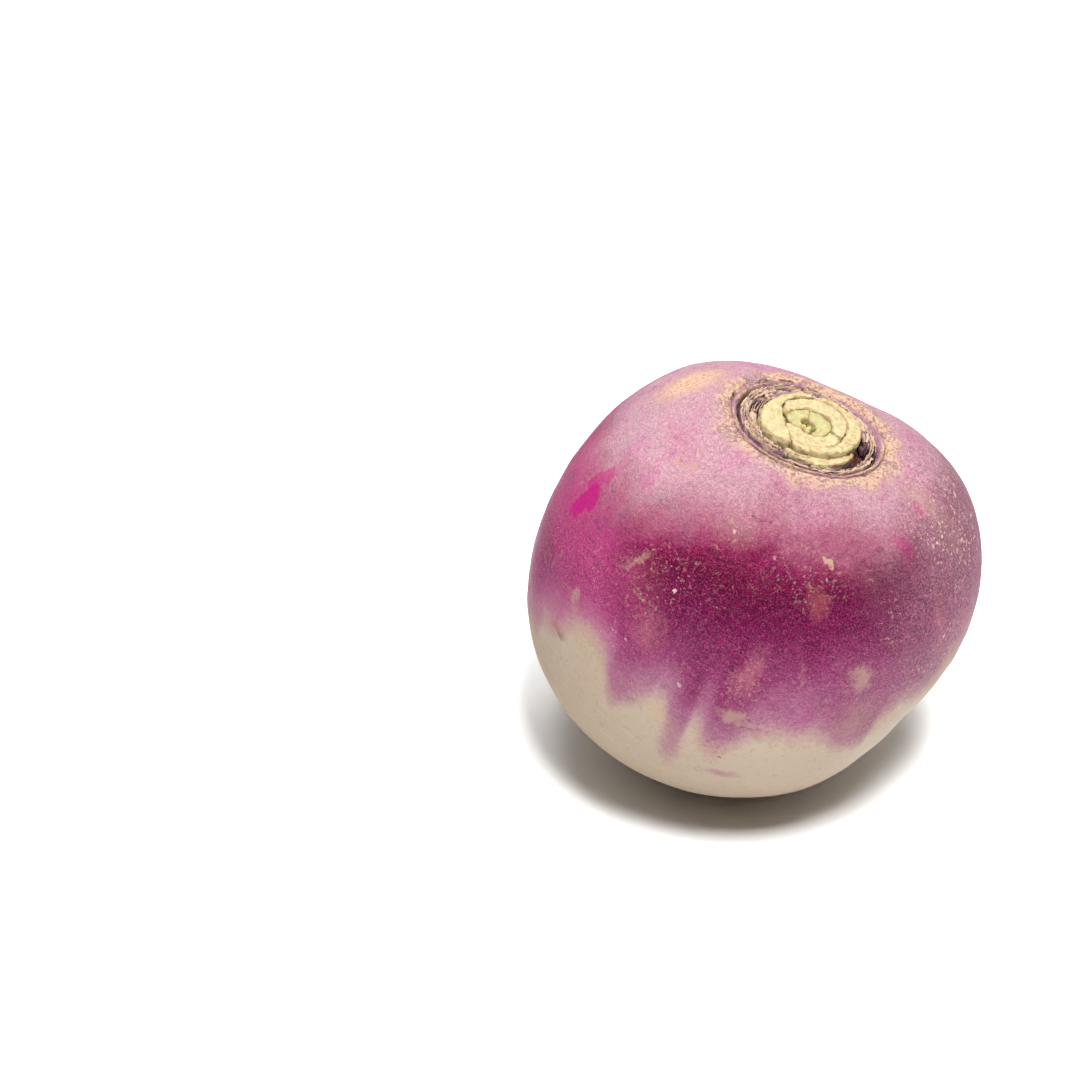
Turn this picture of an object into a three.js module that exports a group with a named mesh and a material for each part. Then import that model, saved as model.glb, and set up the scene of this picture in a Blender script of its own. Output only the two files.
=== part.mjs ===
// A purple-top turnip, trimmed for the shop: one swollen root with a corky crown
// and a short cut taproot, the cut bases of its leaf stalks nested in the crown,
// and the dry remains of its oldest leaves round them.
//
// Units are millimetres and +Z is up. The turnip lies as it comes to rest, leaning
// over on a small flat spot. The origin is on the surface that it rests on, under
// the middle of its box. Two frames are used: the upright root frame, with its
// origin at the root's centre and +Z out of the crown, and the part's own frame,
// which is the root frame leaned over.
import * as THREE from "three";
import { mergeVertices } from "three/addons/utils/BufferGeometryUtils.js";

const { degToRad, radToDeg, lerp, smoothstep } = THREE.MathUtils;

// ---------------------------------------------------------------- driving sizes

// The root's outline: angle from the crown axis in degrees, and the distance from
// the root's centre to its skin there.
const OUTLINE = [
  [0, 37.4],
  [25, 41.6],
  [45, 42.2],
  [70, 42.3],
  [95, 43.3],
  [120, 44.9],
  [145, 44.7],
  [180, 40.1],
];

// Broad swells and hollows in the skin: direction as azimuth and angle from the
// crown axis in degrees, and height.
const SWELLS = [
  { azimuth: 123, angle: 45, height: 2.6 },
  { azimuth: 65, angle: 36, height: -2.1 },
  { azimuth: 21, angle: 53, height: 4.4 },
  { azimuth: 354, angle: 82, height: 1.7 },
  { azimuth: 331, angle: 112, height: -4.7 },
  { azimuth: 300, angle: 136, height: 2.0 },
  { azimuth: 198, angle: 125, height: -2.1 },
];
const SWELL_SPREAD = 22; // degrees
const CROWN_CALM = [18, 32]; // degrees over which the swells fade in from the crown

// The lower half bends aside as the root tapers towards its tail.
const BEND_DEPTH = 45; // depth below the centre at which the bend is BEND_ASIDE
const BEND_ASIDE = [-8.2, 9.5];

// How the root lies.
const LEAN = 16.9; // degrees off upright
const LEAN_TOWARDS = -22.2; // azimuth that the crown leans to, in degrees
const ROOT_CENTRE = [-0.81, -0.65, 40.2];

// The crown, in the root frame: a round pit with a raised rim of leaf scars and a
// ring of cork, as radius and height.
const CROWN_CENTRE = [-0.8, 0];
const PIT_RADIUS = 13.9;
const PIT_FLOOR = 34.6;
const CROWN_RINGS = [
  [5, PIT_FLOOR],
  [10, PIT_FLOOR],
  [PIT_RADIUS - 0.2, PIT_FLOOR],
  [PIT_RADIUS, PIT_FLOOR + 0.3],
  [PIT_RADIUS + 0.1, 37.2],
  [14.4, 37.9], // inner scar ridge
  [14.9, 37.9],
  [15.2, 37.2], // groove of the outermost leaf scar
  [15.6, 37.8],
  [16.6, 38.1], // ring of cork
  [17.8, 37.8],
  [18.9, 37.3],
];
const CROWN_EDGE = [16, 24]; // radii over which the crown's features return to centre
const RING_WAVES = [
  { count: 2, phase: 40, share: 0.02 },
  { count: 5, phase: 10, share: 0.012 },
  { count: 9, phase: 75, share: 0.006 },
];

// The trimmed taproot at the other end, as radius and distance below the centre.
const TAIL_RINGS = [
  [7.5, 40.6],
  [5.6, 41.4],
  [4.6, 42.4],
  [4.2, 43.4],
  [3.4, 43.9],
  [1.8, 44.0],
];

// Rings of skin between the crown and the tail, by angle from the crown axis.
const SKIN_ANGLES = { first: 29, last: 167, count: 36 };
const SKIN_SEGMENTS = 64;

// Seams between the leaf bases, as closed lines round the crown's centre: radii at
// even steps of azimuth, starting from +X.
const CAVITY_SEAM = [0.8, 0.8, 0.8, 0.9, 1.1, 1.4, 1.7, 2.0, 2.2, 2.5, 2.0, 1.3];
const HEART_SEAM = [4.4, 4.7, 4.8, 4.5, 4.3, 4.5, 4.7, 3.9, 3.2, 3.8, 4.1, 3.9];
const MIDDLE_SEAM = [7.2, 8.4, 9.1, 8.2, 7.3, 6.2, 5.3, 5.8, 7.8, 7.7, 7.5, 6.7];
const FACE_SEAM = [10.3, 10.8, 10.8, 9.9, 9.0, 8.8, 10.0, 11.2, 10.2, 10.1, 9.7, 9.6];
const STUB_SEAM = [10.6, 10.9, 10.9, 10.0, 9.2, 9.1, 10.1, 11.4, 11.2, 12.2, 11.5, 10.4];
const SHEATH_SEAM = [12.2, 12.2, 12.2, 11.9, 11.4, 11.4, 11.9, 12.6, 12.3, 12.8, 12.5, 12.1];
const PIT_SEAM = [PIT_RADIUS - 0.2];
const SEAM_GAP = 0.34;

// Leaf bases: the seams that each lies between, the azimuths that it spans, the side
// that each of its two tips keeps to (0 inside, 1 outside), and how far its top lies
// below the highest cut.
const CUT_HEIGHT = 39.4;
const LEAF_FOOT = PIT_FLOOR + 0.3;
const TIP_LENGTH = 16; // degrees over which a tip thins out
const TIP_THICKNESS = 0.4;
const AZIMUTH_STEP = 6;
const STALKS = [
  {
    name: "outer_stalk_left",
    seams: [MIDDLE_SEAM, FACE_SEAM],
    span: [72, 248],
    tips: [1, 1],
    drop: 0,
  },
  {
    name: "outer_stalk_right",
    seams: [MIDDLE_SEAM, FACE_SEAM],
    span: [-40, 88],
    tips: [0, 0],
    drop: 0.2,
  },
  {
    name: "outer_stalk_front",
    seams: [MIDDLE_SEAM, FACE_SEAM],
    span: [232, 336],
    tips: [0, 1],
    drop: 0.1,
  },
  {
    name: "inner_stalk_upper",
    seams: [HEART_SEAM, MIDDLE_SEAM],
    span: [-30, 172],
    tips: [1, 0.5],
    drop: 0.2,
  },
  {
    name: "inner_stalk_lower",
    seams: [HEART_SEAM, MIDDLE_SEAM],
    span: [188, 346],
    tips: [0.5, 0],
    drop: 0.4,
  },
  {
    name: "heart_stalk_left",
    seams: [CAVITY_SEAM, HEART_SEAM],
    span: [84, 276],
    tips: [1, 0],
    drop: 0.3,
  },
  {
    name: "heart_stalk_right",
    seams: [CAVITY_SEAM, HEART_SEAM],
    span: [-100, 100],
    tips: [1, 0],
    drop: 0.6,
  },
  {
    name: "low_stalk_front",
    seams: [FACE_SEAM, STUB_SEAM],
    span: [228, 340],
    tips: [0, 0],
    drop: 1.2,
  },
];
const DRY_SHEATHS = [
  {
    name: "dry_sheath_left",
    seams: [SHEATH_SEAM, PIT_SEAM],
    span: [104, 226],
    tips: [1, 0],
    drop: 1.2,
  },
  {
    name: "dry_sheath_low",
    seams: [SHEATH_SEAM, PIT_SEAM],
    span: [236, 348],
    tips: [1, 1],
    drop: 1.5,
  },
  {
    name: "dry_sheath_right",
    seams: [SHEATH_SEAM, PIT_SEAM],
    span: [-18, 74],
    tips: [0, 1],
    drop: 1.1,
  },
  {
    name: "dry_sheath_front",
    seams: [STUB_SEAM, SHEATH_SEAM],
    span: [164, 258],
    tips: [1, 0],
    drop: 0.9,
  },
  {
    name: "dry_sheath_top",
    seams: [STUB_SEAM, SHEATH_SEAM],
    span: [-18, 150],
    tips: [0.5, 0.5],
    drop: 0.7,
  },
];

// -------------------------------------------------------------------- materials

const material = (colour, roughness) =>
  new THREE.MeshStandardMaterial({ color: colour, roughness, metalness: 0 });

const SKIN = material("#a1558f", 0.45);
const CUT_STALK = material("#dcd99a", 0.55);
const HEART_STALK = material("#b9c48a", 0.55);
const DRY_LEAF = material("#8d6f73", 0.85);

// ----------------------------------------------------------------- the frames

// A unit vector from an azimuth and an angle off the crown axis, in degrees.
function direction(azimuth, angle) {
  const across = Math.sin(degToRad(angle));
  return new THREE.Vector3(
    across * Math.cos(degToRad(azimuth)),
    across * Math.sin(degToRad(azimuth)),
    Math.cos(degToRad(angle)),
  );
}

// The matrix that leans the upright root frame over into the part's frame.
function leanMatrix() {
  const crownAxis = direction(LEAN_TOWARDS, LEAN);
  const sideways = new THREE.Vector3(1, 0, 0).projectOnPlane(crownAxis).normalize();
  const backwards = new THREE.Vector3().crossVectors(crownAxis, sideways);
  return new THREE.Matrix4()
    .makeBasis(sideways, backwards, crownAxis)
    .setPosition(...ROOT_CENTRE);
}

// --------------------------------------------------------------------- the root

// Half of the root's section, from the middle of the crown pit to the tail's end.
function rootSection() {
  const angles = OUTLINE.map(([angle]) => angle);
  const distances = OUTLINE.map(([, distance]) => distance);
  const skin = new THREE.CubicInterpolant(angles, distances, 1);
  skin.settings = {
    endingStart: THREE.ZeroSlopeEnding,
    endingEnd: THREE.ZeroSlopeEnding,
  };
  const rings = [[0, PIT_FLOOR], ...CROWN_RINGS];
  const { first, last, count } = SKIN_ANGLES;
  for (let ring = 0; ring < count; ring++) {
    const angle = lerp(first, last, ring / (count - 1));
    const distance = skin.evaluate(angle)[0];
    rings.push([
      distance * Math.sin(degToRad(angle)),
      distance * Math.cos(degToRad(angle)),
    ]);
  }
  rings.push(...TAIL_RINGS.map(([radius, depth]) => [radius, -depth]));
  rings.push([0, rings.at(-1)[1]]);
  return rings.map(([radius, height]) => new THREE.Vector2(radius, height));
}

// Makes the rings round the pit slightly wavy and sets the whole crown off centre.
function shapeCrown(point) {
  const radius = Math.hypot(point.x, point.y);
  const azimuth = Math.atan2(point.y, point.x);
  const near = 1 - smoothstep(radius, ...CROWN_EDGE);
  const outsidePit = smoothstep(radius, PIT_RADIUS, PIT_RADIUS + 1);
  let wave = 0;
  for (const { count, phase, share } of RING_WAVES) {
    wave += share * Math.cos(count * azimuth - degToRad(phase));
  }
  const stretch = 1 + wave * near * outsidePit;
  point.x = point.x * stretch + CROWN_CENTRE[0] * near;
  point.y = point.y * stretch + CROWN_CENTRE[1] * near;
}

// Raises the broad swells and sinks the hollows.
function swell(point) {
  const outwards = point.clone().normalize();
  const fromCrown = radToDeg(Math.acos(outwards.z));
  let height = 0;
  for (const { azimuth, angle, height: peak } of SWELLS) {
    const away = radToDeg(outwards.angleTo(direction(azimuth, angle)));
    height += peak * Math.exp(-(away ** 2) / (2 * SWELL_SPREAD ** 2));
  }
  point.addScaledVector(outwards, height * smoothstep(fromCrown, ...CROWN_CALM));
}

// Carries the lower half aside, more and more towards the tail.
function bend(point) {
  const depth = Math.max(0, -point.z) / BEND_DEPTH;
  point.x += BEND_ASIDE[0] * depth ** 2;
  point.y += BEND_ASIDE[1] * depth ** 2;
}

function rootGeometry() {
  const geometry = new THREE.LatheGeometry(rootSection().reverse(), SKIN_SEGMENTS);
  geometry.rotateX(Math.PI / 2);
  const lean = leanMatrix();
  const positions = geometry.attributes.position;
  const point = new THREE.Vector3();
  for (let i = 0; i < positions.count; i++) {
    point.fromBufferAttribute(positions, i);
    if (point.z > 0) shapeCrown(point);
    swell(point);
    bend(point);
    point.applyMatrix4(lean);
    point.z = Math.max(point.z, 0); // the small flat spot that it rests on
    positions.setXYZ(i, point.x, point.y, point.z);
  }
  return geometry;
}

// -------------------------------------------------------------- the leaf bases

// The radius of a seam at an azimuth, on a smooth closed curve (Catmull-Rom).
function seamRadius(seam, azimuth) {
  const place = (THREE.MathUtils.euclideanModulo(azimuth, 360) / 360) * seam.length;
  const first = Math.floor(place);
  const t = place - first;
  const radius = (offset) => seam[(first + offset + seam.length) % seam.length];
  const slopeIn = (radius(1) - radius(-1)) / 2;
  const slopeOut = (radius(2) - radius(0)) / 2;
  const rise = radius(1) - radius(0);
  const curve = (3 - 2 * t) * rise - (2 - t) * slopeIn - (1 - t) * slopeOut;
  return radius(0) + t * slopeIn + t * t * curve;
}

// The inner and outer radius of a leaf base at an azimuth in its span.
function crescentEdges({ seams, span, tips }, azimuth) {
  const inside = seamRadius(seams[0], azimuth);
  const outside = seamRadius(seams[1], azimuth);
  const [start, end] = span;
  const tip = azimuth - start < end - azimuth ? tips[0] : tips[1];
  const fromTip = Math.min(azimuth - start, end - azimuth);
  const fullness = Math.min(1, fromTip / TIP_LENGTH);
  const tipRadius = lerp(inside, outside, tip);
  return [
    lerp(tipRadius, inside, fullness) + SEAM_GAP / 2,
    lerp(tipRadius, outside, fullness) - SEAM_GAP / 2,
  ];
}

function crownPoint(radius, azimuth) {
  return new THREE.Vector2(
    CROWN_CENTRE[0] + radius * Math.cos(degToRad(azimuth)),
    CROWN_CENTRE[1] + radius * Math.sin(degToRad(azimuth)),
  );
}

// A crescent standing on the floor of the pit.
function leafBaseGeometry(leaf) {
  const outer = [];
  const inner = [];
  for (let azimuth = leaf.span[0]; azimuth <= leaf.span[1]; azimuth += AZIMUTH_STEP) {
    const [low, high] = crescentEdges(leaf, azimuth);
    if (high - low < TIP_THICKNESS) continue;
    outer.push(crownPoint(high, azimuth));
    inner.unshift(crownPoint(low, azimuth));
  }
  const geometry = new THREE.ExtrudeGeometry(new THREE.Shape([...outer, ...inner]), {
    depth: CUT_HEIGHT - leaf.drop - LEAF_FOOT,
    bevelEnabled: false,
  });
  return geometry.translate(0, 0, LEAF_FOOT);
}

// ------------------------------------------------------------------ the turnip

// Only positions are kept, so that neighbouring faces share their corners.
function solid(name, geometry, finish) {
  geometry.deleteAttribute("normal");
  geometry.deleteAttribute("uv");
  const mesh = new THREE.Mesh(mergeVertices(geometry), finish);
  mesh.name = name;
  return mesh;
}

const turnip = new THREE.Group();
turnip.add(solid("root", rootGeometry(), SKIN));

const crown = new THREE.Group();
crown.applyMatrix4(leanMatrix());
turnip.add(crown);
for (const stalk of STALKS) {
  const finish = stalk.name.startsWith("heart") ? HEART_STALK : CUT_STALK;
  crown.add(solid(stalk.name, leafBaseGeometry(stalk), finish));
}
for (const sheath of DRY_SHEATHS) {
  crown.add(solid(sheath.name, leafBaseGeometry(sheath), DRY_LEAF));
}

export default turnip;
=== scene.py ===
"""A purple-top turnip with trimmed leaf stalks, dressed round its CAD frame.

The root's skin, the cut stalks and the dry leaf remains are made from copies of the
frame's solids, refined by modelling operators and modifiers, and every finish is a
node material. Sizes are in millimetres unless a name says otherwise.
"""

from contextlib import contextmanager
from math import atan2, cos, degrees, hypot, radians, sin, tau
from random import Random

import bpy
from bpy.props import FloatProperty, FloatVectorProperty, IntProperty, PointerProperty
from mathutils import Matrix, Vector


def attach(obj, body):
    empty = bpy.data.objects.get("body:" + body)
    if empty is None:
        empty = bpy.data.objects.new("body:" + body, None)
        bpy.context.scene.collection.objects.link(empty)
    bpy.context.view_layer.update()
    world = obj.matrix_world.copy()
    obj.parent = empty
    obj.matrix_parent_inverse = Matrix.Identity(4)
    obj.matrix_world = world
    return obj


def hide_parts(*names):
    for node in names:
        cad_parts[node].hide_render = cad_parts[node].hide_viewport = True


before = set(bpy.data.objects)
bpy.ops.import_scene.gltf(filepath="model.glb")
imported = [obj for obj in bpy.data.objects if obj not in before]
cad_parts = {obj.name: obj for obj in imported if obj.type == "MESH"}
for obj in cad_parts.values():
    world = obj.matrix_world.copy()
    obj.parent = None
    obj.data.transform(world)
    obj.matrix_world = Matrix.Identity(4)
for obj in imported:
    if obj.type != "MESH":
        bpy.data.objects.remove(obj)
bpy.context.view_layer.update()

bl_info = {
    "name": "Purple-top turnip",
    "version": (1, 0, 0),
    "blender": (4, 5, 0),
    "location": "3D View > Sidebar > Turnip",
    "description": "Dresses a trimmed turnip root and sets its studio stage",
    "category": "Add Mesh",
}

MM = 0.001
BODY = "root"

STALKS = [
    "outer_stalk_left",
    "outer_stalk_right",
    "outer_stalk_front",
    "inner_stalk_upper",
    "inner_stalk_lower",
    "low_stalk_front",
]
HEART_STALKS = ["heart_stalk_left", "heart_stalk_right"]
DRY_SHEATHS = [
    "dry_sheath_left", "dry_sheath_low", "dry_sheath_right", "dry_sheath_front", "dry_sheath_top"
]

# Where the purple gives way to cream: azimuth, and angle from the crown axis.
PIGMENT_EDGE = [
    (90, 92), (104, 98), (118, 91), (132, 100), (148, 94), (160, 104), (172, 102),
    (186, 114), (199, 103), (208, 96), (214, 91), (220, 88.5), (225, 89), (229, 98),
    (232, 101), (236, 98), (240, 95), (243, 92), (246, 95), (249, 102), (251, 103),
    (253.5, 93), (256, 96), (259, 102), (263, 101), (267, 95), (273, 93), (280, 91.5),
    (287, 94), (294, 95.5), (299, 95.5), (303, 90), (309, 86), (324, 85), (331, 82),
    (342, 81), (360, 84), (374, 90), (388, 83), (402, 93), (416, 86), (432, 95),
    (450, 92),
]

# Where the pale shoulder, partly painted sheen, gives way to purple, in the same way.
SHOULDER_EDGE = [
    (90, 46), (150, 60), (190, 66), (205, 61.5), (220, 51), (235, 47), (250, 41),
    (275, 40), (295, 43), (312, 43), (338, 45), (354, 52), (450, 46),
]


# ------------------------------------------------------------------ properties


def number(name, description, default):
    """A plain value, in millimetres where it is a size."""
    return FloatProperty(name=name, description=description, default=default)


def slant(name, description, default):
    """An angle, from its default in degrees."""
    return FloatProperty(
        name=name, description=description, default=radians(default), subtype="ANGLE"
    )


def colour(name, description, default):
    """A colour of a surface, as scene-linear red, green and blue."""
    return FloatVectorProperty(
        name=name, description=description, default=default, subtype="COLOR", min=0, max=1
    )


class TurnipShape(bpy.types.PropertyGroup):
    """Sizes of the root and its crown, in the upright root frame."""

    lean: slant("Lean", "Angle of the crown axis off upright", 16.9)
    lean_towards: slant("Leans towards", "Azimuth that the crown leans to", -22.2)
    centre: FloatVectorProperty(
        name="Centre",
        description="Centre of the root, in millimetres",
        default=(-0.81, -0.65, 40.2),
    )
    crown_centre: FloatVectorProperty(
        name="Crown centre",
        description="Centre of the leaf crown off the root's axis, in millimetres",
        default=(-0.8, 0, 0),
    )
    pit_radius: number("Pit radius", "Radius of the pit that holds the leaves", 13.9)
    scar_radius: number("Scar radius", "Outer radius of the smooth leaf scar", 15.3)
    cork_radius: number("Cork radius", "Outer radius of the ring of cork", 17.7)
    lump_height: number("Lumps", "Height of the broad lumps in the skin", 0.7)
    wrinkle_height: number("Wrinkles", "Height of the wrinkles round the root", 0.16)
    crust_height: number("Crust", "Height of the crust on the cork ring", 0.5)
    levels: IntProperty(name="Levels", description="Subdivisions of the root", default=2)
    voxel: number("Voxel", "Mesh size of the leaf bases", 0.17)
    swelling: number("Swelling", "How far the leaf bases close their gaps", 0.13)
    shrinking: number("Shrinking", "How far the dry remains have drawn in", 0.22)
    paper: number("Paper", "Thickness of the torn skins", 0.2)
    seed: IntProperty(name="Seed", description="Choice of torn skins", default=4)


class TurnipColours(bpy.types.PropertyGroup):
    """Colours of the skin, the cut leaves and the dry leaves."""

    # The crown and shoulder pinks are pale skin and painted sheen from the light above.
    crown_pink_and_sheen: colour("Crown pink", "Skin round the crown", (0.36, 0.205, 0.24))
    shoulder_pink_and_sheen: colour("Shoulder pink", "Skin on the shoulder", (0.265, 0.086, 0.13))
    upper_purple: colour("Upper purple", "Skin above the band", (0.165, 0.008, 0.052))
    band_purple: colour("Band purple", "Darkest band of skin", (0.074, 0.0002, 0.016))
    lower_purple: colour("Lower purple", "Skin below the band", (0.125, 0.007, 0.05))
    violet: colour("Violet", "Skin near the cream", (0.205, 0.036, 0.105))
    edge_violet: colour("Edge violet", "Last tint over the cream", (0.31, 0.135, 0.20))
    cream: colour("Cream", "Skin of the lower half", (0.415, 0.333, 0.256))
    # Painted shade of the underside.
    underside_shade_cream: colour("Low cream", "Skin round the tail", (0.345, 0.274, 0.20))
    rosy: colour("Rosy", "Pinker skin of the sunny side", (0.39, 0.055, 0.165))
    magenta_cast: colour("Magenta cast", "Tint of rosy patches", (1.0, 0.6, 0.9))
    plum_cast: colour("Plum cast", "Tint of plum patches", (0.75, 1.0, 0.95))
    # Frost and bloom carry painted sheen besides the real dull film and bloom.
    frost_and_sheen: colour("Frost", "Dull film on the sheltered shoulder", (0.325, 0.175, 0.21))
    bloom_and_sheen: colour("Bloom", "Greyish bloom over the purple", (0.20, 0.085, 0.12))
    fleck: colour("Fleck", "Pale hairs in the skin", (0.33, 0.06, 0.17))
    flake: colour("Flake", "Loose pale flakes", (0.56, 0.38, 0.36))
    tan: colour("Tan", "Tan flecks and strokes", (0.36, 0.235, 0.16))
    tan_cream: colour("Tan cream", "Islands low in the purple", (0.33, 0.21, 0.175))
    # Painted light on the cream of the bright side.
    painted_light_cream: colour("Pale cream", "Cream on the bright side", (0.50, 0.425, 0.36))
    speck: colour("Speck", "Fine specks in the purple", (0.46, 0.23, 0.30))
    pale_pink: colour("Pale pink", "Faint streaks in the purple", (0.46, 0.17, 0.19))
    # Painted shade, and the colour of the scratches on the cream.
    shade_and_scratch_cream: colour("Dull cream", "Shaded root", (0.30, 0.215, 0.13))
    warm_cream: colour("Warm cream", "Warm patches on the cream", (0.43, 0.30, 0.205))
    rust: colour("Rust", "Rusty stains", (0.34, 0.09, 0.085))
    freckle: colour("Freckle", "Dots on the cream", (0.14, 0.08, 0.045))
    magenta: colour("Magenta", "Freshly rubbed skin", (0.34, 0.002, 0.125))
    cork: colour("Cork", "Cork and scabs", (0.50, 0.345, 0.24))
    cork_shade: colour("Cork shade", "Hollows of the cork", (0.33, 0.185, 0.13))
    crack: colour("Crack", "Cracks in the cork", (0.12, 0.045, 0.035))
    scar: colour("Scar", "Smooth leaf scar", (0.33, 0.17, 0.22))
    # Dark floor of the pit, partly painted shade of its depth.
    pit: colour("Pit", "Depth of the leaf pit", (0.13, 0.05, 0.04))
    cut_flesh: colour("Cut flesh", "Cut face of a stalk", (0.47, 0.385, 0.205))
    heart_fold: colour("Heart fold", "Young leaf in the heart", (0.46, 0.42, 0.13))
    cut_green: colour("Cut green", "Green parts of a cut stalk", (0.33, 0.30, 0.11))
    vein: colour("Vein", "Rings of the veins in a cut stalk", (0.36, 0.21, 0.07))
    heart_green: colour("Heart green", "Cut face of the heart", (0.38, 0.36, 0.15))
    rim_brown: colour("Rim brown", "Dried edge of a cut stalk", (0.27, 0.15, 0.075))
    dry_tan: colour("Dry tan", "Pale dry leaf", (0.47, 0.33, 0.23))
    dry_mauve: colour("Dry mauve", "Mauve dry leaf", (0.24, 0.12, 0.15))
    dry_leaf_shade: colour("Dry dark", "Shaded folds of dry leaf", (0.07, 0.026, 0.024))


class TurnipStage(bpy.types.PropertyGroup):
    """The floor, the lights and the camera."""

    lens: number("Lens", "Focal length in millimetres", 85)
    elevation: slant("Elevation", "Angle that the camera looks down", 30)
    depth: number("Depth", "Distance from the camera to the turnip's middle", 506.5)
    middle: FloatVectorProperty(
        name="Middle",
        description="Point of the turnip that the picture is placed by",
        default=(0.3, -0.9, 41.0),
    )
    across: number("Across", "That point's place right of the picture's centre, in widths", 0.1933)
    down: number("Down", "That point's place below the picture's centre, in widths", 0.0326)
    floor_white: number("Floor white", "Reflectance of the floor", 0.92)
    low_sky: number("Low sky", "Strength of the sky at the horizon", 0.03)
    high_sky: number("High sky", "Strength of the sky overhead", 0.53)
    far_glow: number("Far glow", "Light of the far floor and horizon", 0.75)
    key_power: number("Key power", "Power of the main soft light", 16.5)
    top_power: number("Top power", "Power of the overhead soft light", 8.5)


# Marks on the skin: azimuth, angle from the crown axis, width, height, turn, colour,
# how soft the outline is and how strong the mark.
BLEMISHES = [
    (191, 68, 5, 8.5, -15, "magenta", 0.15, 0.8),
    (190, 61, 3.2, 8, -30, "magenta", 0.3, 0.6),
    (155, 35.5, 8.5, 13, 42, "cork", 0.55, 1),
    (243, 45, 6, 5, 0, "tan", 1, 0.16),
    (336, 44, 6, 13, 10, "tan", 1, 0.12),
    (333, 34, 5, 7, 30, "tan", 1, 0.3),
    # Painted shade on the lower left of the cream.
    (192, 124, 28, 22, 0, "shade_and_scratch_cream", 0.8, 0.6),
    (275, 56.5, 3, 5, 20, "rust", 1, 0.35),
    (277, 45.6, 1.2, 2.4, 60, "tan", 0.3, 0.9),
    (208, 41, 0.55, 5, 107, "tan", 0.6, 0.85),
    (211.5, 39, 0.5, 3, 112, "tan", 0.6, 0.8),
    (220.7, 66, 1.1, 5.4, -30, "tan", 1, 0.5),
    (226, 70, 7, 8, 0, "rust", 1, 0.12),
    (234, 79, 5, 7, 10, "pale_pink", 1, 0.3),
    (293, 74.5, 3.8, 4.6, 20, "tan_cream", 0.7, 0.7),
    (262, 78, 3, 8, -8, "pale_pink", 1, 0.35),
    (262, 90, 5, 2.6, -25, "tan_cream", 0.7, 0.8),
    (322, 65, 3, 9, 10, "pale_pink", 1, 0.25),
    (337, 72, 3, 6, 20, "pale_pink", 1, 0.3),
    (294, 88, 6, 8, -30, "tan_cream", 1, 0.45),
    # Painted light: the cream lightened on the bright right side.
    (316, 104, 20, 16, 0, "painted_light_cream", 0.9, 0.6),
    (309, 42, 2.5, 5, 30, "magenta", 0.8, 0.4),
    (326, 36, 2, 3, 0, "magenta", 0.8, 0.4),
    (197, 38, 12, 4, 0, "magenta", 1, 0.22),
    (207, 99, 5, 2.2, 12, "rust", 1, 0.5),
    (208.5, 99.6, 3, 1.2, 10, "freckle", 0.9, 0.6),
    (250, 106, 3.5, 9, 5, "edge_violet", 0.9, 0.8),
    (265, 110.5, 6, 2.2, 8, "edge_violet", 0.7, 0.7),
    (263, 104, 0.8, 0.6, 0, "freckle", 0.3, 0.9),
    (274, 71, 0.9, 0.9, 0, "crack", 0.5, 0.7),
    (18, 52, 8, 12, 30, "tan", 1, 0.4),
    (58, 74, 9, 4, -10, "tan_cream", 0.8, 0.5),
    (84, 48, 4, 9, 20, "magenta", 0.8, 0.4),
    (112, 83, 6, 8, 0, "tan_cream", 0.9, 0.6),
    (150, 76, 4, 9, 15, "tan", 1, 0.4),
]

# Scuffed places on the skin: azimuth, angle from the crown axis, width and height.
SCUFFS = [
    (229, 66, 16, 16), (271, 51, 18, 12), (334, 40, 22, 22), (346, 52, 16, 14),
    (172, 23, 10, 9), (199, 39, 22, 13), (243, 45, 10, 7), (262, 79, 7, 12),
    (40, 45, 20, 14), (110, 60, 16, 20),
]

# Where the shoulder, the band's lower half and the painted shade of the underside set in, as
# angles from the crown axis, and the sunny side and the painted sheen of the right side, along X.
SHOULDER_ANGLES = (34, 52)
LOW_ANGLES = (66, 82)
SHADED_ANGLES = (106, 132)
SUNNY_SIDE = (-22, -38)
RIGHT_SIDE = (6, 32)

# The skin's usual distance from the root's centre, and how deep a mark on it reaches.
SKIN_RADIUS = 42
SPOT_DEPTH = 8

# The darkest that the fine grain makes the skin.
DARKEST_GRAIN = 0.45

# Relief of the skin: sizes of the lumps, the wrinkles and the crust of the crown.
LUMP_SIZE = 13
WRINKLE_SIZE = 5
WRINKLE_STRETCH = (1.6, 1.6, 0.45)
CRUST_SIZE = 1.3

# Below this height is no crown, and a radius that stands for that.
CROWN_FOOT = 20
FAR_AWAY = 60

# Corners of the frame's solids this near are one, and this near the top are the cut.
MERGE_DISTANCE = 0.002
CUT_FLATNESS = 0.01

# How rough the leaf bases are cut, and the share of it and its size on the cut and
# all over. Then distances that stand for no edge or vein near.
STALK_ROUGH = 0.5
HEART_ROUGH = 0.35
SHEATH_ROUGH = 0.9
CUT_SHARE = 1.5
CUT_SIZE = 1.6
SIDE_SHARE = 0.65
SIDE_SIZE = 1.4
NO_EDGE = 1
NO_VEIN = 9

# Radius at the middle of the leaf bases, and of the ring of one vein in a cut stalk.
CROWN_MIDDLE = 9
VEIN_RADIUS = 0.42
VEIN_SPACING = 2.3

# The torn skins: radii of their rings, where they stand, how finely they are cut,
# their sweep, how much lower some are, how far they leave the ring, their spacing, and
# the height and size of the waves and tears in them.
PAPER_RADII = (13.45, 13.0, 12.55, 12.1, 11.65, 11.2)
PAPER_TOP = 38.6
PAPER_FOOT = 35.4
PAPER_SEGMENTS = 120
PAPER_SWEEP = (24, 60)
PAPER_DROP = 1.1
PAPER_WANDER = 0.25
PAPER_SPACING = (0.8, 1.5)
PAPER_WAVES = (0.7, 2.2)
PAPER_TEARS = (2.4, 0.9)

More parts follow.
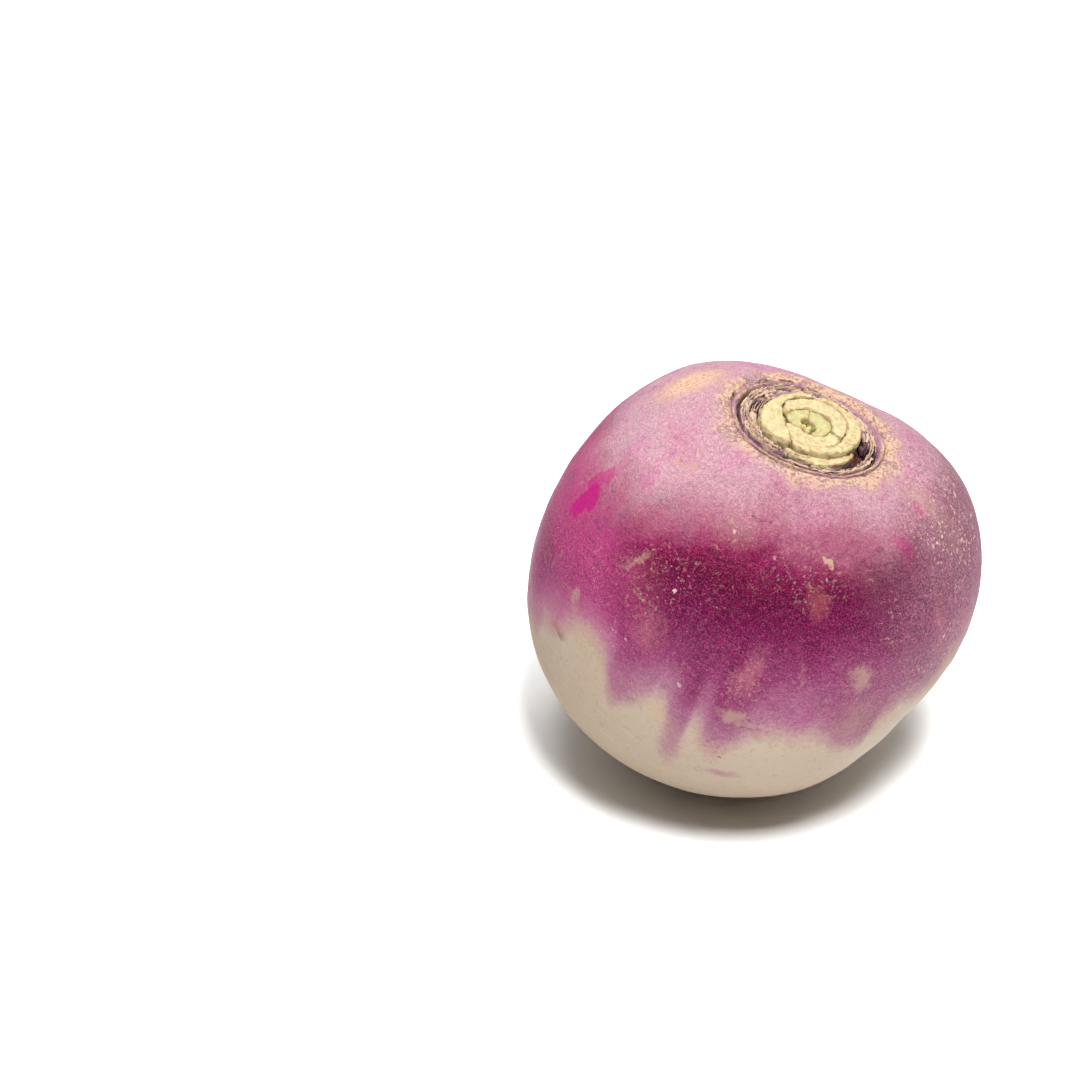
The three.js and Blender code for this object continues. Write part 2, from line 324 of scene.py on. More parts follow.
# Where the inner torn skins have gone, and strips that fill a gap: radius, start, sweep.
PAPER_GAP = {"from": 286, "to": 352, "inside": 12.8}
PAPER_FILLERS = [(10.8, 136, 42), (10.3, 140, 36), (9.8, 143, 28)]

# Scales of the heart bud: height and size of their folds, and of each scale its place
# off the crown's centre, half sizes and turn.
BUD_FOLDS = (0.4, 0.8)
BUD_SCALES = [
    (-0.1, -0.6, 37.1, 1.3, 0.8, 1.5, 60),
    (-0.7, -1.2, 36.9, 1.3, 0.6, 1.6, 100),
    (-0.8, 0.3, 36.8, 1.0, 0.6, 1.5, 120),
]

# The purple reaches lowest towards the deep side: azimuth, mean angle and slope.
DEEP_SIDE = 175
MEAN_EDGE = 92
EDGE_SLOPE = 15

# The stage, in metres: the floor, the ring where its glow and the sky's sets in, the
# brightest way in the sky, and the place and size of each soft light.
FLOOR_WIDTH = 12
FLOOR_SPECKLE = (0.8, 0.8, 0.8)
FLOOR_GLOW = (0.4, 1.4)
BLACK = (0, 0, 0)
HORIZON_RING = (0.09, 0.03)
BRIGHT_SKY = (0, 0.5, 0.866)
KEY_LIGHT = ((0.1, -0.47, 1.0), 0.28)
TOP_LIGHT = ((-0.05, 0.25, 1.1), 0.7)

# ---------------------------------------------------------------- shader maths


class Wire:
    """A node's output socket, so that shader maths reads as plain Python."""

    def __init__(self, sheet, socket):
        self.sheet = sheet
        self.socket = socket

    def maths(self, operation, *values):
        return self.sheet.node("ShaderNodeMath", {"operation": operation}, dict(enumerate(values)))

    def __add__(self, other):
        return self.maths("ADD", self, other)

    __radd__ = __add__

    def __sub__(self, other):
        return self.maths("SUBTRACT", self, other)

    def __rsub__(self, other):
        return self.maths("SUBTRACT", other, self)

    def __mul__(self, other):
        return self.maths("MULTIPLY", self, other)

    __rmul__ = __mul__

    def __truediv__(self, other):
        return self.maths("DIVIDE", self, other)

    def __rtruediv__(self, other):
        return self.maths("DIVIDE", other, self)

    def __pow__(self, other):
        return self.maths("POWER", self, other)

    def __rpow__(self, other):
        return self.maths("POWER", other, self)

    def __neg__(self):
        return self.maths("MULTIPLY", self, -1)

    def __abs__(self):
        return self.maths("ABSOLUTE", self)

    def beside(self, output):
        """Another output of the same node."""
        return Wire(self.sheet, self.socket.node.outputs[output])

    def arctan2(self, other):
        return self.maths("ARCTAN2", self, other)

    def at_least(self, other):
        return self.maths("MAXIMUM", self, other)

    def at_most(self, other):
        return self.maths("MINIMUM", self, other)


class Sheet:
    """The node tree of one material or of the sky, and the colour laid so far."""

    def __init__(self, owner):
        owner.use_nodes = True
        self.owner = owner
        self.tree = owner.node_tree
        self.tree.nodes.clear()
        self.tint = None

    def node(self, kind, settings=None, inputs=None, output=0):
        """Adds a node with its settings made first and its inputs set or linked."""
        made = self.tree.nodes.new(kind)
        for key, value in (settings or {}).items():
            if key == "stops":
                self._set_stops(made.color_ramp, value)
            elif key == "points":
                self._set_points(made.mapping, value)
            else:
                setattr(made, key, value)
        for key, value in (inputs or {}).items():
            if isinstance(value, Wire):
                self.tree.links.new(value.socket, made.inputs[key])
            elif value is not None:
                made.inputs[key].default_value = value
        return Wire(self, made.outputs[output]) if made.outputs else made

    @staticmethod
    def _set_stops(ramp, stops):
        while len(ramp.elements) < len(stops):
            ramp.elements.new(0.5)
        for element, (place, tint) in zip(ramp.elements, stops):
            element.position = place
            element.color = (*tint, 1)

    @staticmethod
    def _set_points(mapping, points):
        curve = mapping.curves[0]
        while len(curve.points) < len(points):
            curve.points.new(0.5, 0.5)
        for point, place in zip(curve.points, points):
            point.location = place
        mapping.update()

    def mix(self, mask, first, second, blend="MIX"):
        """A colour that goes from the first to the second as the mask goes to 1."""
        return self.node(
            "ShaderNodeMix",
            {"data_type": "RGBA", "blend_type": blend, "clamp_factor": True},
            {0: mask, 6: self._tint(first), 7: self._tint(second)},
            output=2,
        )

    def lay(self, mask, tint, blend="MIX"):
        """Lays a colour over the sheet's own as far as the mask goes to 1."""
        self.tint = self.mix(mask, self.tint, tint, blend)

    @staticmethod
    def _tint(value):
        return value if isinstance(value, Wire) else (*value, 1)

    def ramp(self, value, stops):
        """A colour that passes through stops, each a value and its colour."""
        first, last = stops[0][0], stops[-1][0]
        stops = [((at - first) / (last - first), tint) for at, tint in stops]
        share = (value - first) / (last - first)
        return self.node("ShaderNodeValToRGB", {"stops": stops}, {0: share})

    def step(self, value, low, high):
        """0 below low, 1 above high, and smooth between; high may be the lower."""
        return self.node(
            "ShaderNodeMapRange",
            {"interpolation_type": "SMOOTHSTEP"},
            {0: value, 1: low, 2: high, 3: 0, 4: 1},
        )

    def vector(self, operation, *values, output=0):
        return self.node(
            "ShaderNodeVectorMath", {"operation": operation}, dict(enumerate(values)), output
        )

    def noise(self, place, size, detail=2, roughness=0.5, stretch=(1, 1, 1), seed=0):
        """Noise of about that feature size, drawn out along an axis by stretch."""
        scaled = self.vector(
            "MULTIPLY_ADD",
            place,
            tuple(1 / (size * drawn) for drawn in stretch),
            (seed * 7.3, seed * 3.1, seed * 5.7),
        )
        return self.node(
            "ShaderNodeTexNoise",
            None,
            {"Vector": scaled, "Scale": 1, "Detail": detail, "Roughness": roughness},
        )

    def crown_place(self, shape):
        """The place on the turnip in the upright root frame, in millimetres."""
        to_root = root_matrix(shape).inverted()
        return self.node(
            "ShaderNodeMapping",
            {"vector_type": "POINT"},
            {
                "Vector": self.node("ShaderNodeTexCoord", output="Object"),
                "Location": to_root.translation,
                "Rotation": to_root.to_3x3().to_euler(),
                "Scale": (1 / MM,) * 3,
            },
        )

    def swirl(self, place, size, reach):
        """The place pushed aside by up to that reach, to make outlines ragged."""
        noise = self.node(
            "ShaderNodeTexNoise", None, {"Vector": place, "Scale": 1 / size, "Detail": 3}, "Color"
        )
        push = self.vector("MULTIPLY_ADD", noise, (2 * reach,) * 3, (-reach,) * 3)
        return self.vector("ADD", place, push)

    def flecks(self, place, apart, size, share, seed=0):
        """Small uneven grains on a share of the cells of a loose pattern."""
        scaled = self.vector("MULTIPLY_ADD", place, (1 / apart,) * 3, (seed * 4.7, seed * 9.1, 0))
        near = self.node("ShaderNodeTexVoronoi", None, {"Vector": scaled, "Scale": 1}, "Distance")
        chance = self.split(near.beside("Color"))[0]
        reach = size * self.step(chance, 1 - share, 1)
        return self.step(near - reach, 0.0, -0.05)

    def hairs(self, place, size, seed=0):
        """Short thin curved lines, about that size apart."""
        lines = self.noise(place, size, 1, seed=seed)
        broken = self.noise(place, size * 0.5, 1, seed=seed + 1)
        return self.step(abs(lines - 0.5), 0.06, 0.01) * self.step(broken, 0.52, 0.6)

    def attribute(self, name):
        """A value that store() has put on the mesh."""
        return self.node("ShaderNodeAttribute", {"attribute_name": name}, None, "Fac")

    def split(self, place):
        return [self.node("ShaderNodeSeparateXYZ", None, {0: place}, axis) for axis in range(3)]

    def spot(self, place, azimuth, angle, wide, tall, turn=0):
        """Distance from a spot on the skin: 0 in its middle and 1 at its edge."""
        outwards = direction(radians(azimuth), radians(angle))
        east = Vector((-sin(radians(azimuth)), cos(radians(azimuth)), 0))
        north = outwards.cross(east)
        axes = Matrix((east, north, outwards)).transposed()
        axes = axes @ Matrix.Rotation(radians(turn), 3, "Z")
        local = self.node(
            "ShaderNodeMapping",
            {"vector_type": "TEXTURE"},
            {
                "Vector": place,
                "Location": outwards * SKIN_RADIUS,
                "Rotation": axes.to_euler(),
                "Scale": (wide / 2, tall / 2, SPOT_DEPTH),
            },
        )
        return self.vector("LENGTH", local, output="Value")

    def finish(self, roughness, normal, **constants):
        """Ends the sheet in one shader and returns the material."""
        inputs = {"Base Color": self.tint, "Roughness": roughness, "Normal": normal}
        inputs.update(constants)
        shader = self.node("ShaderNodeBsdfPrincipled", None, inputs)
        self.node("ShaderNodeOutputMaterial", None, {"Surface": shader})
        return self.owner

    def bump(self, height, distance, strength=1, under=None):
        inputs = {"Height": height, "Distance": distance, "Strength": strength}
        if under:
            inputs["Normal"] = under
        return self.node("ShaderNodeBump", None, inputs)


# --------------------------------------------------------------------- geometry


def direction(azimuth, angle):
    """A unit vector from an azimuth and an angle off the crown axis."""
    across = sin(angle)
    return Vector((across * cos(azimuth), across * sin(azimuth), cos(angle)))


def root_matrix(shape):
    """Carries the upright root frame to the part's frame, in millimetres."""
    axis = direction(shape.lean_towards, shape.lean)
    side = Vector((1, 0, 0))
    side = (side - axis * side.dot(axis)).normalized()
    back = axis.cross(side)
    turn = Matrix((side, back, axis)).transposed().to_4x4()
    return Matrix.Translation(shape.centre) @ turn


def millimetre_frame(shape):
    """The root frame's place and lean, in metres."""
    lean = root_matrix(shape)
    lean.translation *= MM
    return lean


def only(obj):
    """Selects one object alone and makes it the active one."""
    bpy.ops.object.select_all(action="DESELECT")
    obj.select_set(True)
    bpy.context.view_layer.objects.active = obj


@contextmanager
def editing(piece):
    """Opens one piece for editing its faces, and closes it again."""
    only(piece)
    bpy.ops.object.mode_set(mode="EDIT")
    bpy.ops.mesh.select_mode(type="FACE")
    yield
    bpy.ops.object.mode_set(mode="OBJECT")


def into_root(shape):
    """Carries metres in the part's frame to millimetres in the root frame."""
    return root_matrix(shape).inverted() @ Matrix.Scale(1 / MM, 4)


def copy_of(node, name):
    """A new piece from a copy of a CAD node, with its corners merged."""
    piece = bpy.data.objects.new(name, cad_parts[node].data.copy())
    bpy.context.scene.collection.objects.link(piece)
    piece.data.materials.clear()
    with editing(piece):
        bpy.ops.mesh.select_all(action="SELECT")
        bpy.ops.mesh.remove_doubles(threshold=MERGE_DISTANCE * MM)
        bpy.ops.mesh.tris_convert_to_quads()
    return piece


def apply(piece, kind, **settings):
    """Adds a modifier to a piece and applies it."""
    only(piece)
    modifier = piece.modifiers.new(kind.title(), kind)
    for key, value in settings.items():
        setattr(modifier, key, value)
    bpy.ops.object.modifier_apply(modifier=modifier.name)


def weigh(piece, group, shape, weight):
    """Fills a vertex group from a function of the place in the root frame."""
    to_root = into_root(shape)
    weights = piece.vertex_groups.new(name=group)
    for vertex in piece.data.vertices:
        value = weight(to_root @ vertex.co)
        if value > 0:
            weights.add([vertex.index], value, "REPLACE")


def emboss(piece, shape, height, size, group="", stretch=(1, 1, 1), depth=2, axis="NORMAL"):
    """Moves a piece or a group of it in and out by clouds laid in the root frame."""
    texture = bpy.data.textures.new("relief", "CLOUDS")
    texture.noise_scale = 1
    texture.noise_depth = depth
    ruler = bpy.data.objects.new("ruler", None)
    bpy.context.scene.collection.objects.link(ruler)
    scale = Matrix.Diagonal((*(size * drawn * MM for drawn in stretch), 1))
    ruler.matrix_world = millimetre_frame(shape) @ scale
    bpy.context.view_layer.update()
    apply(
        piece,
        "DISPLACE",
        texture=texture,
        texture_coords="OBJECT",
        texture_coords_object=ruler,
        vertex_group=group,
        strength=height * MM,
        mid_level=0.5,
        direction=axis,
    )
    bpy.data.objects.remove(ruler)
    bpy.data.textures.remove(texture)


def ease(value, low, high):
    """0 at low, 1 at high, and smooth between; high may be the lower."""
    share = min(1, max(0, (value - low) / (high - low)))
    return share * share * (3 - 2 * share)


def place_piece(piece, material, node=None):
    """Hands a finished piece over to the frame, in place of its CAD node if any."""
    only(piece)
    bpy.ops.object.shade_smooth()
    piece.vertex_groups.clear()
    piece.data.materials.append(material)
    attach(piece, BODY)
    if node:
        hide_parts(node)


# -------------------------------------------------------------------- finishes


def line_round(sheet, share, points):
    """The angle of a line drawn round the root, at a share of a turn from the back."""
    places = [((azimuth - 90) / 360, angle / 180) for azimuth, angle in points]
    curve = sheet.node("ShaderNodeFloatCurve", {"points": places}, {1: share})
    return curve * 180


def pigment(sheet, place, x, y, z, colours):
    """The skin's colour from crown to tail, where it is purple and deep, and the angle."""
    radius = (x * x + y * y) ** 0.5
    angle = radius.arctan2(z) * degrees(1)
    share = x.arctan2(-y) / tau + 0.5
    near = sheet.step(angle, 72, 92)
    away = radians(DEEP_SIDE)
    trend = MEAN_EDGE + EDGE_SLOPE * (x * cos(away) + y * sin(away)) / radius
    edge = trend + (line_round(sheet, share, PIGMENT_EDGE) - trend) * near
    shoulder = line_round(sheet, share, SHOULDER_EDGE)

    drips = (sheet.noise(place, 4, 3, stretch=(1, 1, 2.2)) - 0.5) * near
    blotches = sheet.noise(place, 13, 4, 0.6, seed=1) - 0.5
    grain = sheet.noise(place, 0.8, 3, seed=2) - 0.5
    past = angle - edge + drips * 6 + blotches * 12 + grain * 6
    above = angle - shoulder + blotches * 26 + grain * 6
    # The pale upper end of this ramp is partly painted sheen.
    top = [
        (-14, colours.crown_pink_and_sheen),
        (-2, colours.shoulder_pink_and_sheen),
        (10, colours.upper_purple),
        (23, colours.band_purple),
    ]
    low = [
        (-42, colours.band_purple),
        (-26, colours.lower_purple),
        (-14, colours.violet),
        (-3, colours.edge_violet),
        (5, colours.cream),
    ]
    skin = sheet.mix(sheet.step(past, -44, -34), sheet.ramp(above, top), sheet.ramp(past, low))
    deep = sheet.step(above, 2, 16) * sheet.step(past, -8, -24)
    return skin, sheet.step(past, 5, -6), deep, angle


def skin_finish(shape, colours):
    """Waxy skin with its pigment, blemishes, scratches, cork ring and leaf scars."""
    sheet = Sheet(bpy.data.materials.new("turnip_skin"))
    lay, step, noise = sheet.lay, sheet.step, sheet.noise
    place = sheet.crown_place(shape)
    x, y, z = sheet.split(place)
    sheet.tint, purple, deep, angle = pigment(sheet, place, x, y, z, colours)
    ragged = sheet.swirl(place, 2.5, 2)
    fine_ragged = sheet.swirl(place, 1.2, 0.7)
    upper = step(angle, *SHOULDER_ANGLES)

    # Broad shifts between magenta, plum and a greyish bloom, the bloom partly painted sheen.
    shifts = noise(place, 9, 4, 0.6, seed=3)
    sunny = step(x + (shifts - 0.5) * 16, *SUNNY_SIDE) * purple
    sunny = sunny * step(angle, 56, 70) * (1 - step(angle, 78, 90) * 0.6)
    lay(sunny * 0.6, colours.rosy)
    rosy = step(shifts, 0.5, 0.66) * purple * (0.6 - sunny * 0.5)
    lay(rosy, colours.magenta_cast, "MULTIPLY")
    plums = step(noise(place, 7, 4, 0.65, seed=18), 0.5, 0.66)
    plums = plums * upper * step(angle, 84, 70) * purple
    lay(plums * 0.5, colours.plum_cast, "MULTIPLY")
    bloom_and_sheen = noise(place, 6, 5, 0.7, seed=4)
    grain = noise(place, 0.5, 3, 0.6, seed=5)
    # Painted sheen: a pale veil over the whole right side, on top of real dust and bloom in
    # patches.
    right_side = step(x, *RIGHT_SIDE)
    dusty = step(bloom_and_sheen + (grain - 0.5) * 0.7, 0.4, 0.75)
    veil_and_sheen = right_side * 0.45 + dusty * (0.05 + right_side * 0.25 + (1 - upper) * 0.18)
    veil_and_sheen = veil_and_sheen * (1 - deep * (1 - right_side) * 0.7)
    middle_band = step(angle, 48, 72) * (1 - step(x, 28, 38))
    film_and_sheen_tints = sheet.mix(middle_band, colours.frost_and_sheen, colours.bloom_and_sheen)
    lay(veil_and_sheen * purple, film_and_sheen_tints)

    # Pale hairs all over the purple, tan flecks in drifts, and flakes where scuffed.
    scuffed = step(noise(place, 9, 3, seed=7), 0.5, 0.7)
    for azimuth, tilt, wide, tall in SCUFFS:
        scuff = step(sheet.spot(ragged, azimuth, tilt, wide, tall), 1.2, 0.5)
        scuffed = scuffed.at_least(scuff)
    low = step(angle, *LOW_ANGLES) * purple
    hairs = sheet.hairs(place, 0.7, seed=19)
    lay(hairs * purple * (0.22 + deep * 0.25 + sunny * 0.2), colours.fleck)
    tan_hairs = sheet.hairs(fine_ragged, 1.7, seed=21) * (0.08 + scuffed * 0.45 + low * 0.2)
    lay(tan_hairs * purple * 0.6, colours.tan)
    flecks = sheet.flecks(fine_ragged, 1.3, 0.24 + right_side * 0.16, 0.65, seed=1) * scuffed
    flakes = sheet.flecks(fine_ragged, 2.6, 0.22, 0.5, seed=2) * scuffed
    grains = sheet.flecks(fine_ragged, 0.8, 0.42, 0.7, seed=5) * scuffed
    lay(grains * purple * (0.2 + right_side * 0.6), colours.flake)
    fleck_tint = sheet.mix(right_side * 0.6, colours.tan, colours.flake)
    lay(flecks * purple * 0.6, fleck_tint)
    lay(flakes * purple * 0.9, colours.flake)
    strokes = noise(fine_ragged, 1.6, 2, stretch=(3.4, 3.4, 0.22), seed=8)
    rubbed = step(noise(place, 8, 2, seed=9), 0.5, 0.64)
    strokes = step(strokes, 0.62, 0.72) * rubbed * purple
    lay(strokes * 0.45, colours.tan)

    # Islands of cream low in the purple, and warm patches and freckles on the cream.
    islands = noise(place, 6, 4, 0.6, stretch=(1, 1, 1.6), seed=10)
    islands = step(islands, 0.6, 0.72) * low
    lay(islands * 0.6, colours.tan_cream)
    warm = step(noise(place, 11, 3, seed=11), 0.48, 0.7) * (1 - purple)
    lay(warm * 0.6, colours.warm_cream)
    # Painted shade: the cream darkens towards the underside.
    shaded = step(angle, *SHADED_ANGLES) * (1 - purple)
    lay(shaded, colours.underside_shade_cream)
    scratches = sheet.hairs(fine_ragged, 2.3, seed=27) * (1 - purple)
    lay(scratches * 0.3, colours.shade_and_scratch_cream)
    freckles = sheet.flecks(place, 4.5, 0.06, 0.6, seed=3) * (1 - purple)
    lay(freckles * 0.7, colours.freckle)

    # Long creases along the rings of the root, bumped in and painted darker as painted shade.
    creases = noise(ragged, 1.1, 3, stretch=(8, 8, 0.5), seed=16)
    creased = step(sheet.spot(place, 288, 59, 30, 18), 1.3, 0.6)
    creased = creased.at_least(step(noise(place, 14, 2, seed=17), 0.5, 0.64))
    creases = step(creases, 0.42, 0.3) * creased * purple

    # Fine grain, strongest in the dark band and faint on the cream.
    fibre = noise(fine_ragged, 0.5, 3, 0.6, stretch=(1.5, 1.5, 0.8), seed=6)
    grit = step(noise(place, 0.24, 2, 0.7, seed=22), 0.5, 0.64)
    specks = step(noise(place, 0.27, 2, 0.7, seed=26), 0.56, 0.68)
    specks = specks * purple * (0.18 + right_side * 0.1)
    contrast = purple * (0.56 + right_side * 0.3) * (1 - step(angle, 78, 92) * 0.3)
    contrast = (contrast + 0.05 + deep * 0.6) * (1 - sunny * 0.2)
    light = ((fibre - 0.5) * 1.8 + grit * 0.8 - 0.3) * contrast - creases * 0.4
    # Painted light: the purple on the left side is lightened.
    light = light + step(x, -12, -34) * purple * 0.12
    light = (light + 1).at_least(DARKEST_GRAIN)
    sheet.tint = sheet.vector("MULTIPLY", sheet.tint, light)
    lay(specks, colours.speck)

    # Rubbed patches, scabs and stains.
    crumbs = noise(place, 0.7, 4, 0.65, seed=12)
    bits = step(grain * 0.5 + crumbs * 0.5, 0.4, 0.54)
    corky = sheet.mix(bits, colours.cork_shade, colours.cork)
    for azimuth, tilt, wide, tall, turn, tint, soft, strength in BLEMISHES:
        mark = sheet.spot(ragged, azimuth, tilt, wide, tall, turn)
        mark = mark + (crumbs + grain - 1) * (3 if tint == "cork" else 1.8) * soft
        mark = step(mark, 1 + soft, 1 - soft) * strength
        lay(mark, corky if tint == "cork" else getattr(colours, tint))

    # Cork ring, leaf scars and pit round the crown.
    strands = crown_strands(sheet, shape, x, y, z)
    radius = sheet.split(strands)[0]
    torn_x, torn_y, torn_z = sheet.split(ragged)
    torn = sheet.split(crown_strands(sheet, shape, torn_x, torn_y, torn_z))[0]
    torn = torn + (noise(place, 11, 2, seed=15) - 0.5) * 8
    top = step(z, 20, 28)
    relief = sheet.attribute("relief")
    worn = step(crumbs + (shifts - 0.5) * 0.8, 0.36, 0.5)
    cork = step(torn, shape.cork_radius + 2.4, shape.cork_radius - 1.2)
    cork = cork * worn * top
    lay(cork * 0.95, corky)
    # Dark cracks and painted shade where the cork's crust sinks in.
    cracks_and_hollow_shade = step(relief + (crumbs - 0.5) * 0.6, -0.2, -0.45) * cork
    lay(cracks_and_hollow_shade * 0.2, colours.crack)
    layers = noise(strands, 0.8, 4, 0.6, stretch=(0.7, 6, 3), seed=20)
    scarred = sheet.mix(step(layers, 0.46, 0.6), colours.scar, corky)
    scar = step(radius, shape.scar_radius + 0.35, shape.scar_radius - 0.15) * top
    lay(scar, scarred)
    wavy = radius + (crumbs - 0.5) * 1.2 + (layers - 0.5) * 1.6
    for offset, seed in ((0.1, 13), (-0.75, 23)):
        crevice = step(abs(wavy - shape.scar_radius - offset), 0.26, 0.1) * top
        opened = step(noise(place, 6, 2, seed=seed), 0.48, 0.56)
        lay(crevice * opened * 0.9, colours.crack)
    # The floor of the pit: dry litter and painted shade, lighter mauve litter on the left and the
    # young fold in the middle.
    pit = step(radius, shape.pit_radius + 0.1, shape.pit_radius - 0.4) * top
    litter_and_shade = sheet.mix(step(crumbs, 0.42, 0.6), colours.dry_leaf_shade, colours.pit)
    litter_and_shade = sheet.mix(step(x, 0, -6) * 0.8, litter_and_shade, colours.dry_mauve)
    depth = sheet.mix(step(radius, 4, 2.5), litter_and_shade, colours.heart_fold)
    lay(pit, depth)

    wrinkles = noise(place, 2.4, 4, 0.55, stretch=(2.4, 2.4, 0.4), seed=14)
    normal = sheet.bump(wrinkles, 0.3 * MM, 0.5)
    normal = sheet.bump(fibre - creases * 0.6, 0.12 * MM, 0.6, normal)
    crust = crumbs * (cork + 0.1) + (flecks + flakes * 1.5 + strokes) * purple * 0.25
    normal = sheet.bump(crust + layers * scar, 0.4 * MM, 0.9, normal)
    rough = 0.42 + bloom_and_sheen * 0.16 + cork * 0.3 + pit * 0.3
    return sheet.finish(rough.at_most(0.9), normal, **{"Specular IOR Level": 0.03})


def crown_strands(sheet, shape, x, y, z):
    """A place measured along the rings of the crown: inwards, along and up."""
    cx = x - shape.crown_centre[0]
    cy = y - shape.crown_centre[1]
    radius = (cx * cx + cy * cy) ** 0.5
    along = cx.arctan2(-cy) * CROWN_MIDDLE
    return sheet.node("ShaderNodeCombineXYZ", None, {0: radius, 1: along, 2: z})


def cut_finish(name, shape, colours, flesh, green, deep):
    """A stalk's freshly cut face: moist flesh, rings of veins, a drying edge, and painted shade low
    on its sides.
    """
    sheet = Sheet(bpy.data.materials.new(name))
    place = sheet.crown_place(shape)
    x, y, z = sheet.split(place)
    strands = crown_strands(sheet, shape, x, y, z)
    patchy = sheet.noise(place, 2.4, 4, 0.6, seed=21)
    fine = sheet.noise(place, 0.4, 3, 0.6, seed=22)
    layers = sheet.noise(strands, 0.5, 3, stretch=(1, 8, 3), seed=23)
    sheet.tint = flesh
    sheet.lay(sheet.step(patchy, 0.46, 0.64) * 0.35, green)
    sheet.lay(sheet.step(layers, 0.52, 0.66) * 0.25, colours.vein)
    sheet.lay(sheet.step(fine, 0.48, 0.66) * 0.5, colours.cut_flesh)
    shades = sheet.noise(place, 0.9, 3, 0.6, seed=24)
    light = 0.97 + (shades + fine - 1) * 0.7
    sheet.tint = sheet.vector("MULTIPLY", sheet.tint, light)
    vein = sheet.attribute("vein")
    wavering = vein + (fine - 0.5) * 0.25 + (patchy - 0.5) * 0.3
    ring = sheet.step(abs(wavering - VEIN_RADIUS), 0.2, 0.06)
    dot = sheet.step(wavering, VEIN_RADIUS, 0)
    shown = sheet.step(sheet.noise(place, 3, 1, seed=25), 0.4, 0.54)
    sheet.lay((ring * 0.7 + dot * 0.3) * shown, colours.vein)
    edge = sheet.attribute("edge")
    rim = sheet.step(edge + (patchy - 0.5) * 1.6 + (fine - 0.5) * 0.3, 0.24, 0.02)
    sheet.lay(rim * 0.75, colours.rim_brown)
    # Painted shade: lower down in the pit the stalk's sides go to the deep tint.
    sunk_shade = sheet.step(z + (patchy - 0.5) * 2, 38.2, 36.4)
    sheet.lay(sunk_shade * 0.85, deep)
    normal = sheet.bump(patchy, 0.5 * MM, 0.6)
    normal = sheet.bump(layers + fine, 0.15 * MM, 0.7, normal)
    moist = {
        "Subsurface Weight": 0.2,
        "Subsurface Radius": (1.0, 0.9, 0.35),
        "Subsurface Scale": 0.8 * MM,
    }
    return sheet.finish(0.4 + patchy * 0.2, normal, **moist)


def dry_finish(name, shape, colours):
    """Papery leaf remains in layers, tan outside, mauve inside, with painted shade in the folds and
    lower down in the pit.
    """
    sheet = Sheet(bpy.data.materials.new(name))
    place = sheet.crown_place(shape)
    x, y, z = sheet.split(place)
    strands = crown_strands(sheet, shape, x, y, z)
    layers = sheet.noise(strands, 0.42, 3, 0.6, stretch=(1, 10, 6), seed=31)
    blotches = sheet.noise(place, 2.6, 4, 0.6, seed=32)
    crumbs = sheet.noise(place, 0.5, 3, 0.6, seed=33)
    edge = sheet.attribute("edge")
    mauve = sheet.step(blotches + (edge - 0.6) * 0.25, 0.48, 0.62)
    sheet.tint = colours.dry_tan
    sheet.lay(mauve, colours.dry_mauve)
    sheet.lay(sheet.step(crumbs, 0.52, 0.7) * 0.5, colours.cork)
    # Painted shade in the folds between the layers.
    folds = sheet.step(layers, 0.46, 0.36) * sheet.step(edge, 0.05, 0.4)
    sheet.lay(folds * 0.8, colours.dry_leaf_shade)
    # Painted shade lower down in the pit.
    sheet.lay(sheet.step(z, 37.4, PAPER_FOOT) * 0.85, colours.dry_leaf_shade)
    normal = sheet.bump(layers, 0.5 * MM, 0.9)
    normal = sheet.bump(crumbs, 0.2 * MM, 0.8, normal)
    return sheet.finish(0.78 + blotches * 0.12, normal)


def floor_finish(stage):
    """A pale floor that glows more and more far off, so that it meets the sky."""
    sheet = Sheet(bpy.data.materials.new("studio_floor"))
    white = (stage.floor_white,) * 3
    place = sheet.node("ShaderNodeTexCoord", output="Object")
    sheet.tint = white
    sheet.lay(sheet.noise(place, 0.02, 2, seed=15) * 0.02, FLOOR_SPECKLE)
    away = sheet.vector("LENGTH", place, output="Value")
    glow = {
        "Specular IOR Level": 0.1,
        "Emission Color": sheet.mix(sheet.step(away, *FLOOR_GLOW), BLACK, white),
        "Emission Strength": stage.far_glow,
    }
    return sheet.finish(0.9, None, **glow)


def sky_finish(stage):
    """A white sky, brightest high up behind the turnip and dark at the horizon."""
    sheet = Sheet(bpy.data.worlds.new("white_sky"))
    way = sheet.node("ShaderNodeTexCoord", output="Generated")
    lift = sheet.vector("DOT_PRODUCT", way, BRIGHT_SKY, output="Value")
    strength = stage.low_sky + stage.high_sky * sheet.step(lift, 0.1, 0.95)
    height = sheet.split(way)[2]
    strength = strength + stage.far_glow * sheet.step(height, *HORIZON_RING)
    light = {"Color": (1, 1, 1, 1), "Strength": strength}
    light = sheet.node("ShaderNodeBackground", None, light)
    sheet.node("ShaderNodeOutputWorld", None, {"Surface": light})
    return sheet.owner


# ------------------------------------------------------------------- operators


def crown_radius(place, shape):
    """Distance from the crown's axis, or far away below the crown."""
    if place.z < CROWN_FOOT:
        return FAR_AWAY
    return hypot(place.x - shape.crown_centre[0], place.y - shape.crown_centre[1])


def refine_crown(root, shape):
    """Splits the faces round the crown, so that the cork can be modelled finer."""
    with editing(root):
        bpy.ops.mesh.select_all(action="DESELECT")
    to_root = into_root(shape)
    for face in root.data.polygons:
        radius = crown_radius(to_root @ face.center, shape)
        face.select = shape.pit_radius + 0.2 < radius < shape.cork_radius + 0.5
    with editing(root):
        bpy.ops.mesh.subdivide(number_cuts=1)


